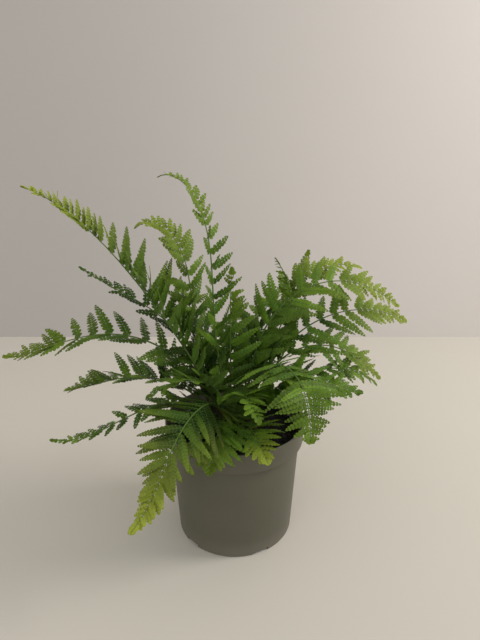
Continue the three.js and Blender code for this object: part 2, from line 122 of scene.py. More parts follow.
# A frond: the ring of the crown that its foot stands in and its place there, the way it heads, the
# slope of its stalk at the foot, one third, two thirds and the tip, its length, its pairs of pinnae,
# its longest pinna, how far they fold up, how far they lean out at mid-blade and the power of the
# blade's taper, how far it swings round and how far the blade rolls by its tip, how yellow that tip
# is, its tone, which is partly its own and partly painted shade, low for fronds that stand in shade
# such as left_back, and how full its blade is: the share that has pinnae between the solid's pairs,
# and how close its pinnules stand
Frond = namedtuple(
    "Frond",
    "name ring place heading slope length pairs pinna fold lean taper turn roll youth tone filled",
)
FROND_ROWS = [
    ("left_high", MIDDLE, 202, 180, (79, 59, 49, 16), 287, 19, 50, 40, 42, 1.1, -10, 0, 0.9, 0.25, 0.6),
    ("tall_left", INNER, 200, 158, (87, 84, 80, -23), 266, 19, 41, 26, 50, 0.75, -16, 0, 0.4, 0.1, 0.3),
    ("left_back_high", MIDDLE, 126, 157, (76, 74, 79, -43), 229, 16, 37, 16, 50, 1.5, 6, 40, 0.6, 0.25, 0.4),
    ("left_back", MIDDLE, 160, 164, (76, 58, 28, 35), 216, 14, 34, 20, 50, 0.9, 0, 10, 0, -0.9, 0.3),
    ("left_long", OUTER, 176, 179, (74, 38, -14, 0), 259, 15, 36, 22, 54, 2.0, -8, 24, 0.4, -0.1, 0.3),
    ("left_mid", OUTER, 196, 186, (77, 30, -11, -12), 174, 13, 38, 28, 56, 1.6, -17, 4, 0.3, -0.15, 0.5),
    ("left_low", OUTER, 219, 204, (84, 13, -22, 21), 172, 13, 24, 8, 54, 1.3, -11, 8, 0.15, -0.3, 0.5),
    ("front_left", OUTER, 242, 245, (92, 17, -47, -14), 182, 16, 46, 2, 56, 1.05, -11, 26, 0.9, -1.3, 1),
    ("front_inner", OUTER, 266, 254, (90, 34, -28, -56), 98, 9, 46, 6, 60, 1.3, 0, 0, 0.2, 0, 1),
    ("front", OUTER, 289, 284, (90, 26, -8, -35), 84, 8, 34, 6, 58, 1.3, 8, 0, 0.8, 0.2, 0.8),
    ("right_drooping", OUTER, 327, 343, (82, 65, -22, -83), 172, 14, 48, 0, 82, 2.4, -64, 0, 0.15, 0, 0.35),
    ("right_low", OUTER, 345, 342, (92, 54, -7, 8), 143, 12, 42, 4, 64, 1.6, 1, -12, 0.1, 0.3, 0.6),
    ("right_mid", OUTER, 2, 357, (86, 40, 3, -50), 152, 12, 36, 8, 54, 1.2, 6, -20, 0.2, -0.1, 0.4),
    ("right_long", OUTER, 20, 7, (74, 52, -16, -39), 188, 14, 42, 8, 54, 1.5, 2, -36, 0.5, 0.15, 0.25),
    ("right_back", MIDDLE, 31, 24, (77, 48, 7, -30), 230, 15, 46, 8, 56, 1.5, -10, -52, 0.65, 0.3, 0.3),
    ("right_high", MIDDLE, 55, 20, (73, 68, 7, -38), 256, 17, 42, 8, 54, 1.3, -9, -56, 0.7, 0.4, 0.3),
    ("right_top", MIDDLE, 92, 43, (83, 62, 30, -22), 232, 14, 34, 14, 54, 1.5, -23, -40, 0.8, 0.35, 0.2),
    ("tall_right", INNER, 74, 50, (92, 41, 54, 63), 194, 12, 26, 22, 40, 2.0, -5, -20, 0.45, 0.3, 0.3),
    ("right_slim", INNER, 6, 24, (89, 56, 82, 128), 176, 11, 24, 22, 34, 2.2, -11, -14, 0.4, 0.3, 0.3),
    ("centre_back", INNER, 130, 106, (86, 86, 84, 74), 152, 11, 42, 16, 60, 1.2, -30, 22, 0.3, 0.3, 0.4),
    ("inner_left", MIDDLE, 236, 232, (85, 63, 15, -30), 128, 10, 38, 14, 60, 1.3, -20, -12, 0.15, 0.3, 0.8),
    ("inner_front", MIDDLE, 276, 264, (84, 66, 10, -40), 112, 9, 38, 14, 58, 1.3, 34, 14, 0.1, 0.3, 0.8),
    ("inner_right", MIDDLE, 320, 306, (84, 67, 19, -30), 125, 10, 38, 14, 58, 1.3, 16, 16, 0.15, 0.3, 0.8),
    ("back_right", OUTER, 66, 68, (80, 56, 26, -10), 180, 11, 36, 18, 58, 1.2, 0, 0, 0.35, 0, 0.4),
    ("back", OUTER, 86, 90, (83, 50, 8, -24), 165, 10, 36, 18, 58, 1.2, 0, 0, 0.3, 0, 0.4),
    ("back_left", OUTER, 112, 122, (80, 58, 30, 0), 185, 11, 36, 18, 58, 1.2, 0, 0, 0.35, 0, 0.4),
]
FRONDS = [Frond(*values) for values in FROND_ROWS]

# Half of a pinnule's outline, from its base to its tip, as shares of its length and half width:
# the toothed one, and the plain one of the smallest
TOOTHED_EDGE = [(0, 1.3), (0.3, 1.04), (0.42, 0.88), (0.76, 0.88), (0.9, 0.56)]
PLAIN_EDGE = [(0, 1.25), (0.5, 0.9), (0.86, 0.54)]
PINNULE_RIB = (0.38, 0.72)
SCALE_EDGE = [(0.1, 0.6), (0.38, 1)]
SCALE_RIB = (0.35,)

# How lacy and full blades differ, each as a value at the least and at the most filled: how slim a
# pinna is, how far its pinnules overlap, and how their spacing is stretched
FILLED = (0.2, 1)
PINNA_SLIM = (0.82, 0.84)
PINNULE_OVERLAP = (1.16, 1.5)
PITCH_STRETCH = (1.3, 1)

# The pinnae between the solid's pairs, those near the tip of the blade, and those past the last pair
BETWEEN_LIFT = 6
BETWEEN_LENGTH = 0.93
MISSING_BETWEEN = 0.14
FINE_TIP_FROM = 0.72
SLIM_IN_TIP = 0.72
PAST_LAST_PAIR = (0.3, 0.6, 0.85)

# How each pinna wanders from its place, in degrees and as a share of its length, and how it bends
WANDER_ROUND = 8
WANDER_UP = 11
WANDER_IN_LENGTH = 0.12
PINNA_TWIST = 14
FORWARD_CURVE = 0.05
MORE_SAG = (-0.03, 0.04)

# The tone and the yellow of the pinnae along a blade, with painted shade that deepens the pinnae towards the
# stalk's foot, in the plant's shaded middle
LIGHTER_AT_TIP = 0.34
PAINTED_SHADE_AT_FOOT = 0.95
TONE_SPREAD = 0.45
PINNULE_TONE_SPREAD = 0.1
YOUNG_FROM = 0.25
YOUNG_POWER = 2.1
YOUNGER_PINNA_TIP = 0.3
STALK_YOUTH = 0.8

# How a pinna is cut into pinnules, in millimetres, degrees and shares
LEAST_CUT_PINNA = 4.5
LEAST_PAIRS = 3
MOST_PAIRS = 17
LEAST_TOOTHED = 1.1
TIP_LEAFLET_ROOM = 0.35
PINNULE_CROWDING = 1.15
PINNULE_RAKE = 27
MORE_RAKE_AT_TIP = 22
RAKE_SPREAD = 3
PINNULE_TILT = 4
TILT_SPREAD = 2
PINNULE_DIP = 5
DIP_SPREAD = 3.5
PINNULE_LENGTHS = (0.93, 1.04)
PINNULE_THICKNESS = 0.16
PINNULE_CUP = 0.035
PINNULE_DROOP = 0.06

# The pinna's rib and the stalk
RIB_SIDES = 4
RIB_STATIONS = 5
RIB_ENDS = (-0.3, 0.97)
RIB_HALF = (0.34, 0.09)
FULL_RIB_FROM = 30
STALK_SIDES = 8
STALK_SPACING = 4.5
STALK_END = 0.995
STALK_SLIM = 0.86
STALK_GROOVE = 0.55

# Brown papery scales at the foot of each stalk and on the crown, with their length and half width
STALK_SCALES = 46
STALK_SCALE = np.array((4.6, 0.55))
SCALED_SHARE = 0.34
SCALES_TO_FOOT = 1.7
CROWN_SCALES = 260
CROWN_SCALE = np.array((6.2, 0.85))
FOOT_SCALES = 12
CROWN_SEED = 17

# What lies on the soil: one in how many crumbs, its least and most size, its stretch and its tones
SOIL_SEED = 41
SOIL_SIDES = 120
LITTER = (
    (1, (0.45, 1.3), (1, 0.85, 0.7), (-0.5, 0.4)),
    (8, (1, 2.1), (1, 0.8, 0.55), (-0.4, 0.5)),
    (6, (1.2, 3.4), (1, 0.14, 0.1), (0.1, 1)),
)

# The camera, as it stood for the photograph
CAMERA_PLACE = (0.0048, -0.403, 0.338)
CAMERA_PITCH = 17.9
CAMERA_LENS = 27.06
SENSOR = 36

# The room: the wall behind the plant, the span over which the painted shading of the floor and the wall
# fades out, the floor's painted light and the wall's painted shade on the left, and the lamps with place,
# size and colour
WALL_BEHIND = 0.53
FLOOR_REACH = 4
SHADED_FROM = (-0.42, 0.4)
FLOOR_PAINTED_LIGHT_ON_LEFT = 1.12
WALL_PAINTED_SHADE_ON_LEFT = 0.81
KEY_LAMP = ((1.05, 0.02, 0.9), 0.5, (1, 0.97, 0.93))
FILL_LAMP = ((-0.5, -1.3, 1.1), 1.2, (0.97, 0.98, 1))
LAMPS_AIM = Vector((0, 0, 0.15))
SKY_COLOUR = (0.96, 0.94, 0.92, 1)


def smooth_step(share):
    share = np.clip(share, 0, 1)
    return share * share * (3 - 2 * share)


def row(values):
    """Values as a column that scales rows of vectors."""
    return np.asarray(values, float)[..., None]


def unit(vectors):
    return vectors / np.linalg.norm(vectors, axis=-1, keepdims=True)


# Shader maths


class Value:
    """A value's socket. An expression on values adds its Math nodes."""

    def __init__(self, finish, socket):
        self.finish = finish
        self.socket = socket

    def maths(self, operation, *others, clamp=False):
        settings = {"operation": operation, "use_clamp": clamp}
        return self.finish.value("Math", 0, settings, dict(enumerate((self, *others))))

    def __add__(self, other):
        return self.maths("ADD", other)

    def __sub__(self, other):
        return self.maths("SUBTRACT", other)

    def __rsub__(self, other):
        return self.finish.value("Math", 0, {"operation": "SUBTRACT"}, {0: other, 1: self})

    def __mul__(self, other):
        return self.maths("MULTIPLY", other)

    __radd__ = __add__
    __rmul__ = __mul__

    def clamped(self):
        return self.maths("ADD", 0, clamp=True)


class Finish:
    """A material that is put together node by node around one Principled shader."""

    def __init__(self, name):
        self.material = bpy.data.materials.new(name)
        self.material.use_nodes = True
        self.tree = self.material.node_tree
        self.shader = self.tree.nodes["Principled BSDF"]

    def value(self, kind, output, settings=None, inputs=None):
        """The output of a new node, whose settings are made first and whose inputs are then fed."""
        made = self.tree.nodes.new("ShaderNode" + kind)
        for name, setting in (settings or {}).items():
            setattr(made, name, setting)
        for name, given in (inputs or {}).items():
            self.feed(made.inputs[name], given)
        return Value(self, made.outputs[output])

    def feed(self, socket, given):
        if isinstance(given, Value):
            self.tree.links.new(given.socket, socket)
        elif socket.type == "RGBA":
            socket.default_value = (*given, 1)
        else:
            socket.default_value = given

    def attribute(self, name):
        return self.value("Attribute", "Fac", {"attribute_name": name})

    def place(self, stretch=1):
        """The point on the piece, in its own coordinates, with its height stretched."""
        point = self.value("TexCoord", "Object")
        return self.value("Mapping", 0, None, {"Vector": point, "Scale": (1, 1, stretch)})

    def part(self, vector, axis):
        return self.value("SeparateXYZ", axis, None, {"Vector": vector})

    def grain(self, scale, detail=3, roughness=0.55, stretch=1):
        """Noise from 0 to 1 over the piece's own coordinates."""
        inputs = {"Vector": self.place(stretch), "Scale": scale, "Detail": detail, "Roughness": roughness}
        return self.value("TexNoise", "Fac", None, inputs)

    def between(self, amount, low, high):
        """The amount's rise from 0 at low to 1 at high."""
        inputs = {"Value": amount, "From Min": low, "From Max": high}
        return self.value("MapRange", "Result", {"interpolation_type": "SMOOTHSTEP"}, inputs)

    def blend(self, amount, first, second):
        """A colour that goes from the first to the second with an amount."""
        settings = {"data_type": "RGBA", "blend_type": "MIX"}
        return self.value("Mix", 2, settings, {0: amount, 6: first, 7: second})

    def done(self, colour, roughness, specular, bump=None):
        """The material, with its bump given as a height, a strength and a distance."""
        inputs = {"Base Color": colour, "Roughness": roughness, "Specular IOR Level": specular}
        if bump:
            names = ("Height", "Strength", "Distance")
            inputs["Normal"] = self.value("Bump", "Normal", None, dict(zip(names, bump)))
        for name, given in inputs.items():
            self.feed(self.shader.inputs[name], given)
        return self.material

    def show_front_only(self):
        """Lets light and sight through from behind."""
        front = Value(self, self.shader.outputs[0])
        behind = self.value("NewGeometry", "Backfacing")
        clear = self.value("BsdfTransparent", 0)
        shown = self.value("MixShader", 0, None, {0: behind, 1: front, 2: clear})
        self.feed(self.tree.nodes["Material Output"].inputs["Surface"], shown)


def blade_finish(looks):
    """The green of the blades: darker and lighter pinnae, yellow young tips, veins, a pale underside."""
    finish = Finish("fern_blade")
    tone, youth = finish.attribute("tone"), finish.attribute("youth")
    patch, mottle = finish.grain(38, 3), finish.grain(420, 2)
    # Painted shade: the tone mark moves shaded pinnae towards the deeper green, besides each pinna's own
    # tone
    lightness = (0.5 + tone * 0.4 + (patch - 0.5) * 1.1 + (mottle - 0.5) * 0.4).clamped()
    green = finish.blend(lightness, looks.dark_and_shaded_green, looks.leaf_green)
    ripened = (youth * 1.05 + (patch - 0.5) * 0.4).clamped()
    green = finish.blend(ripened, green, looks.young_green)
    outline = finish.value("UVMap", "UV", {"uv_map": "blade"})
    along, across = finish.part(outline, "X"), finish.part(outline, "Y")
    under = finish.between(along, 1.4, 1.6)
    off_rib = across.maths("ABSOLUTE")
    rib = 1 - finish.between(off_rib, 0.04, 0.13)
    wave = ((along + off_rib * 0.45) * 31).maths("SINE")
    vein = finish.between(wave, 0.8, 1) * (1 - finish.between(off_rib, 0.5, 0.95))
    line = (rib + vein * 0.45).clamped()
    green = finish.blend(line * 0.36, green, looks.vein_green)
    green = finish.blend(under * 0.5, green, looks.under_green)
    rough = 0.48 + under * 0.16 + mottle * 0.14
    return finish.done(green, rough, 0.22, (mottle * 0.5 - line, 0.25, 0.0002))


def stalk_finish(looks):
    """The stalk: brown at its foot, green further up, with fine streaks and pale flecks."""
    finish = Finish("fern_stalk")
    streak, fleck = finish.grain(700, 3, stretch=0.12), finish.grain(900, 2)
    ripe = finish.between(finish.attribute("place") + (streak - 0.5) * 0.16, 0.03, 0.3)
    colour = finish.blend(ripe, looks.stalk_brown, looks.stalk_green)
    colour = finish.blend(finish.attribute("youth") * 0.55, colour, looks.young_green)
    colour = finish.blend(finish.between(fleck, 0.6, 0.75) * 0.35, colour, looks.vein_green)
    return finish.done(colour, 0.5 + streak * 0.2, 0.25, (streak, 0.4, 0.0002))


def scale_finish(looks):
    """The papery scales: chestnut with paler edges."""
    finish = Finish("fern_scale")
    fibre = finish.grain(1200, 2, stretch=0.3)
    lightness = (0.5 + finish.attribute("tone") * 0.4 + (fibre - 0.5) * 0.6).clamped()
    colour = finish.blend(lightness, looks.scale_dark, looks.scale_light)
    return finish.done(colour, 0.6 + fibre * 0.2, 0.3, (fibre, 0.5, 0.0002))


def crown_finish(looks):
    """The crown between the stalks: dark fibrous rhizome."""
    finish = Finish("fern_crown")
    fibre, lump = finish.grain(260, 5, stretch=0.35), finish.grain(90, 3)
    lightness = (fibre * 0.9 + lump * 0.5 - 0.3).clamped()
    colour = finish.blend(lightness, looks.soil_dark_and_shade, looks.scale_dark)
    return finish.done(colour, 0.75 + fibre * 0.2, 0.25, (fibre + lump, 0.8, 0.0012))


def soil_finish(looks):
    """Damp dark peat: near black, with browner crumbs and fibres."""
    finish = Finish("potting_soil")
    fine, coarse = finish.grain(650, 5, 0.7), finish.grain(140, 3)
    lightness = (fine * 0.8 + coarse * 0.35 - 0.35 + finish.attribute("tone") * 0.4).clamped()
    colour = finish.blend(lightness, looks.soil_dark_and_shade, looks.soil_brown)
    damp = finish.between(coarse, 0.5, 0.75)
    return finish.done(colour, 0.9 - damp * 0.28, 0.3, (fine, 0.9, 0.0009))


def pot_finish(looks):
    """Satin moulded plastic, with a fine skin, faint flow marks, dust low down and soil at the rim."""
    finish = Finish("nursery_pot_plastic")
    skin = finish.grain(2600, 2)
    cloud = finish.grain(26, 4, stretch=1.6)
    flow = finish.grain(60, 3, stretch=0.06)
    colour = finish.blend(cloud, looks.plastic_dark, looks.plastic_light)
    speck = finish.between(finish.grain(330, 4, 0.7), 0.62, 0.72)
    low_down = 1 - finish.between(finish.part(finish.place(), "Z"), 0.001, 0.02)
    dusty = (low_down * 0.22 + speck * 0.10 * finish.between(cloud, 0.4, 0.7)).clamped()
    colour = finish.blend(dusty, colour, looks.dust)
    scuff = finish.between(finish.grain(170, 5, 0.75, 0.2), 0.64, 0.7)
    rough = 0.4 + cloud * 0.12 + scuff * 0.16 + low_down * 0.1
    return finish.done(colour, rough, 0.45, (skin * 0.5 + flow * 1.5 - scuff * 0.4, 0.22, 0.0003))


def plain_finish(name, colour, painted_shading_share):
    """A matt studio surface, which is lighter or deeper on the left, with a very faint mottle."""
    finish = Finish(name)
    sideways = finish.part(finish.place(), "X")
    # Painted shading: a gradient across the surface from its left side to its right
    amount = (finish.between(sideways, *SHADED_FROM) + (finish.grain(2.2, 3) - 0.5) * 0.3).clamped()
    on_left = [painted_shading_share * part for part in colour]
    finish.done(finish.blend(amount, on_left, colour), 0.62, 0.25)
    return finish


# Making meshes


def lathe(profile, sides):
    """A closed solid of revolution from a profile of radius and height, which ends on the axis."""
    bm = bmesh.new()
    points = [bm.verts.new((radius, 0, height)) for radius, height in profile]
    edges = [bm.edges.new(pair) for pair in zip(points, points[1:])]
    bmesh.ops.spin(
        bm, geom=points + edges, cent=(0, 0, 0), axis=(0, 0, 1), angle=math.tau, steps=sides, use_merge=True
    )
    bmesh.ops.remove_doubles(bm, verts=bm.verts, dist=MERGE)
    bmesh.ops.recalc_face_normals(bm, faces=bm.faces)
    return bm


def soften(bm, width, segments):
    """Rounds the crisp edges."""
    crisp = [edge for edge in bm.edges if edge.calc_face_angle(0) > CRISP_ANGLE]
    bmesh.ops.bevel(
        bm, geom=crisp, offset=width, affect="EDGES", segments=segments, profile=0.5, material=-1
    )


def link(mesh, name, finishes):
    """An object at the origin with a mesh and its finishes."""
    piece = bpy.data.objects.new(name, mesh)
    bpy.context.scene.collection.objects.link(piece)
    for finish in finishes:
        mesh.materials.append(finish)
    return piece


def mesh_of(bm, name, smooth=True):
    mesh = bpy.data.meshes.new(name)
    for face in bm.faces:
        face.smooth = smooth
    bm.to_mesh(mesh)
    bm.free()
    return mesh


def dress(piece, node):
    """Lets a piece stand for its solid, with its finish's name in the record."""
    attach(piece, BODY)
    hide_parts(node)


class Form:
    """A small closed mesh, held as arrays so that hundreds of copies can be placed at once."""

    def __init__(self, bm):
        bmesh.ops.triangulate(bm, faces=bm.faces)
        bm.verts.index_update()
        outline = bm.loops.layers.uv.verify()
        self.points = np.array([vert.co for vert in bm.verts])
        self.triangles = np.array([[vert.index for vert in face.verts] for face in bm.faces])
        self.outline = np.array([[loop[outline].uv for loop in face.loops] for face in bm.faces])
        crisp = [[vert.index for vert in edge.verts] for edge in bm.edges if not edge.smooth]
        self.crisp = np.array(crisp, int).reshape(-1, 2)
        bm.free()


def chain(bm, points):
    """The edges that join points of the level plane one after another."""
    verts = [bm.verts.new((*point, 0)) for point in points]
    return [bm.edges.new(pair) for pair in zip(verts, verts[1:])]


def lens(edge, rib):
    """A thin closed blade along +X: half of its upper face, mirrored, then doubled for its underside.

    Its outline lies at height 0, and its rib is 1 up on the upper face and 1 down on the underside.
    """
    bm = bmesh.new()
    middle = chain(bm, [(along, 0) for along in (0, *rib, 1)])
    bmesh.ops.bridge_loops(bm, edges=middle + chain(bm, edge))
    bmesh.ops.triangulate(bm, faces=bm.faces)
    bmesh.ops.mirror(bm, geom=[*bm.verts, *bm.edges, *bm.faces], merge_dist=MERGE, axis="Y")
    bmesh.ops.recalc_face_normals(bm, faces=bm.faces)
    if sum(face.normal.z for face in bm.faces) < 0:
        bmesh.ops.reverse_faces(bm, faces=bm.faces)
    upper = list(bm.faces)
    copied = bmesh.ops.duplicate(bm, geom=upper)["geom"]
    under = [item for item in copied if isinstance(item, bmesh.types.BMFace)]
    bmesh.ops.reverse_faces(bm, faces=under)
    outline = bm.loops.layers.uv.verify()
    for side, faces in ((1, upper), (-1, under)):
        for loop in (loop for face in faces for loop in face.loops):
            loop[outline].uv = (loop.vert.co.x + 1 - side, loop.vert.co.y)
        verts = {vert for face in faces for vert in face.verts}
        ridge = [vert for vert in verts if abs(vert.co.y) < MERGE and vert.co.x < 1 - MERGE]
        bmesh.ops.translate(bm, verts=ridge, vec=(0, 0, side))
    rim = [edge for edge in bm.edges if edge.is_boundary]
    for edge in rim:
        edge.smooth = False
    rim_points = list({vert for edge in rim for vert in edge.verts})
    bmesh.ops.remove_doubles(bm, verts=rim_points, dist=MERGE)
    bmesh.ops.holes_fill(bm, edges=[edge for edge in bm.edges if edge.is_boundary])
    return Form(bm)


def crumb():
    """A small lump with twenty faces."""
    bm = bmesh.new()
    bmesh.ops.create_icosphere(bm, subdivisions=1, radius=1)
    return Form(bm)


class Sheaf:
    """Gathers placed forms into one mesh, with each one's finish, tone, youth and place."""

    def __init__(self):
        self.gathered = defaultdict(list)
        self.count = 0

    def add(self, form, points, finish, tone=0, youth=0, place=0):
        """Adds a copy of the form for each row of points, which are in metres.

        A mark is one number, one for each copy, or a row with one for each corner.
        """
        copies, corners = points.shape[:2]
        offset = self.count + corners * np.arange(copies)[:, None, None]
        added = {
            "points": points.reshape(-1, 3),
            "triangles": (form.triangles + offset).reshape(-1, 3),
            "crisp": (form.crisp + offset).reshape(-1, 2),
            "outline": np.tile(form.outline.reshape(-1, 2), (copies, 1)),
            "finish": np.full(copies * len(form.triangles), finish),
        }
        for name, mark in zip(MARKS, (tone, youth, place)):
            mark = np.asarray(mark, float)
            mark = mark if mark.ndim > 1 else mark.reshape(-1, 1)
            added[name] = np.broadcast_to(mark, (copies, corners)).ravel()
        for name, values in added.items():
            self.gathered[name].append(values)
        self.count += copies * corners

    def mesh(self, name):
        """The gathered mesh, kept within the box of the solids."""
        gathered = {kind: np.concatenate(values) for kind, values in self.gathered.items()}
        points = np.clip(gathered["points"], *(np.array(corner) for corner in SOLIDS_BOX))
        triangles = gathered["triangles"]
        made = bpy.data.meshes.new(name)
        made.vertices.add(len(points))
        made.vertices.foreach_set("co", points.ravel())
        made.loops.add(triangles.size)
        made.loops.foreach_set("vertex_index", triangles.ravel())
        made.polygons.add(len(triangles))
        made.polygons.foreach_set("loop_start", np.arange(0, triangles.size, 3))
        made.polygons.foreach_set("material_index", gathered["finish"])
        made.polygons.foreach_set("use_smooth", np.ones(len(triangles), bool))
        made.update(calc_edges=True)
        made.uv_layers.new(name="blade").data.foreach_set("uv", gathered["outline"].ravel())
        for mark in MARKS:
            made.attributes.new(mark, "FLOAT", "POINT").data.foreach_set("value", gathered[mark])
        ends = np.zeros(2 * len(made.edges), int)
        made.edges.foreach_get("vertices", ends)
        crisp = np.isin(self.keys(ends.reshape(-1, 2)), self.keys(gathered["crisp"]))
        made.edges.foreach_set("use_edge_sharp", crisp)
        return made

    def keys(self, ends):
        """One number for each pair of corners, whichever way round it is."""
        return ends.min(axis=1) * self.count + ends.max(axis=1)


def sweep(stations, sides, groove=1):
    """A closed tube through stations, each a point, a side, an upper face and a half width.

    The groove is the share of the half width that the top of the section keeps.
    """
    bm = bmesh.new()
    bmesh.ops.create_circle(bm, cap_ends=True, radius=1, segments=sides)
    top = max(bm.verts, key=lambda vert: vert.co.y)
    top.co.y *= groove
    last = Matrix.Identity(4)
    ring = list(bm.edges)
    for point, side, up, half in stations:
        ahead = np.cross(side, up)
        turned = Matrix([[*side], [*up], [*ahead]]).transposed().to_4x4()
        place = Matrix.Translation(point) @ turned @ Matrix.Diagonal((half, half, half, 1))
        if last != Matrix.Identity(4):
            grown = bmesh.ops.extrude_edge_only(bm, edges=ring)["geom"]
            ring = [item for item in grown if isinstance(item, bmesh.types.BMEdge)]
        verts = list({vert for edge in ring for vert in edge.verts})
        bmesh.ops.transform(bm, matrix=place @ last.inverted(), verts=verts)
        last = place
    bmesh.ops.contextual_create(bm, geom=ring)
    bmesh.ops.recalc_face_normals(bm, faces=bm.faces)
    return Form(bm)


# The fern's stalks and pinnae, in each frond's own frame, where it heads along +X


def slope(frond, share):
    """The stalk's slope in radians: a cubic through the four given slopes."""
    foot, third, two_thirds, tip = frond.slope
    u = 3 * np.maximum(share, 0)
    degrees = (
        -foot * (u - 1) * (u - 2) * (u - 3) / 6
        + third * u * (u - 2) * (u - 3) / 2
        - two_thirds * u * (u - 1) * (u - 3) / 2
        + tip * u * (u - 1) * (u - 2) / 6
    )
    return np.radians(degrees)


def swing(frond, share):
    """How far the stalk has swung round from its heading, in radians."""
    return np.radians(frond.turn) * np.maximum(share, 0)


def direction(frond, share):
    rise, round_way = slope(frond, share), swing(frond, share)
    level = np.cos(rise)
    return np.stack([level * np.cos(round_way), level * np.sin(round_way), np.sin(rise)], axis=-1)


Station = namedtuple("Station", "point along side up")


def station(frond, distance):
    """The stalk's point, direction, side and upper face at a distance from its foot."""
    shares = (np.arange(SPINE_STEPS) + 0.5) / SPINE_STEPS * distance / frond.length
    point = direction(frond, shares).sum(axis=0) * distance / SPINE_STEPS
    share = distance / frond.length
    along = direction(frond, share)
    round_way = swing(frond, share)
    side = np.array([-np.sin(round_way), np.cos(round_way), 0])
    rolled = math.radians(frond.roll) * max(share, 0)
    up, side = turned_about(np.cross(along, side), side, rolled)
    return Station(point, along, side, up)


def stalk_half(frond, distance):
    left = 1 - max(distance, 0) / frond.length
    return STALK_HALF_AT_TIP + (STALK_HALF_AT_FOOT - STALK_HALF_AT_TIP) * left**STALK_TAPER


def blade_share(frond, share):
    """A pinna's length as a share of the longest one's, by its place along the leafy stretch."""
    if share < WIDEST_AT:
        return PINNA_AT_FOOT + (1 - PINNA_AT_FOOT) * smooth_step(share / WIDEST_AT)
    past = (share - WIDEST_AT) / (1 - WIDEST_AT)
    return 1 - (1 - PINNA_AT_TIP) * past**frond.taper


Pair = namedtuple("Pair", "distance share length half")


def pinna_pair(frond, number):
    """Where a pair of pinnae stands, and how long and wide they are."""
    leafy = frond.length * (1 - BARE_SHARE)
    share = 1 - (1 - (number + 0.5) / (frond.pairs + TIP_ROOM)) ** PAIR_CROWDING
    length = frond.pinna * blade_share(frond, share)
    half = min(
        HALF_WIDTH_BASE + HALF_WIDTH_SHARE * length,
        leafy / frond.pairs * HALF_WIDTH_OF_SPACING,
    )
    return Pair(frond.length - leafy * (1 - share), share, length, half)


class Pinna:
    """A pinna on the right (-1) or the left (1) of the stalk: its root, its axes and its size."""

    def __init__(self, frond, pair, which, bend, kept, slim=1, lean_more=0):
        at = station(frond, pair.distance)
        lean = math.radians(frond.lean + LEAN_SWING * (1 - 2 * pair.share) + lean_more)
        level, back = turned_about(at.along, at.side * which, lean)
        self.across = -back
        self.rib, self.face = turned_about(level, at.up, math.radians(frond.fold + bend))
        self.root = at.point + at.side * which * stalk_half(frond, pair.distance)
        self.length = pair.length * kept
        self.half = pair.half * kept * slim
        self.share, self.which = pair.share, which
        self.bend, self.kept = bend, kept
        self.bow = -SAG * self.face

    def place(self, way):
        """Points on the rib, at ways along it."""
        way = np.asarray(way, float)
        return self.root + row(way) * self.rib + row(way**2 / self.length) * self.bow


def placement(frond):
    """The turn and the foot of a frond in the pot."""
    place, heading = math.radians(frond.place), math.radians(frond.heading)
    foot = np.array([frond.ring * math.cos(place), frond.ring * math.sin(place), FOOT_HEIGHT])
    return np.array(Matrix.Rotation(heading, 3, "Z")), foot


def in_pot(frond, points):
    """Points of a frond's own frame, in the pot's frame and in metres."""
    turn, foot = placement(frond)
    return (points @ turn.T + foot) * MM


def corners_of(node):
    """A tree of a solid's corners, to find the nearest."""
    mesh = SOLIDS[node].data
    tree = kdtree.KDTree(len(mesh.vertices))
    for vert in mesh.vertices:
        tree.insert(vert.co, vert.index)
    tree.balance()
    return tree


def fitted_pinna(frond, pair, which, corners):
    """The pinna as its solid has it: of the bends and shares, the one whose tip is a corner there."""
    found, nearest = None, FIT_TOLERANCE
    for kept in SHARES:
        for bend in BENDS:
            pinna = Pinna(frond, pair, which, bend, kept)
            tip = pinna.place(pinna.length) + pinna.face * BLADE_HALF_THICKNESS
            distance = corners.find(in_pot(frond, tip))[2]
            if distance < nearest:
                found, nearest = pinna, distance
    return found


def envelope(share):
    """A pinna's half width along it, as a share of its widest."""
    rise = 0.74 + 0.26 * smooth_step(share / 0.24)
    return rise * (1 - share**2.3) ** 0.8


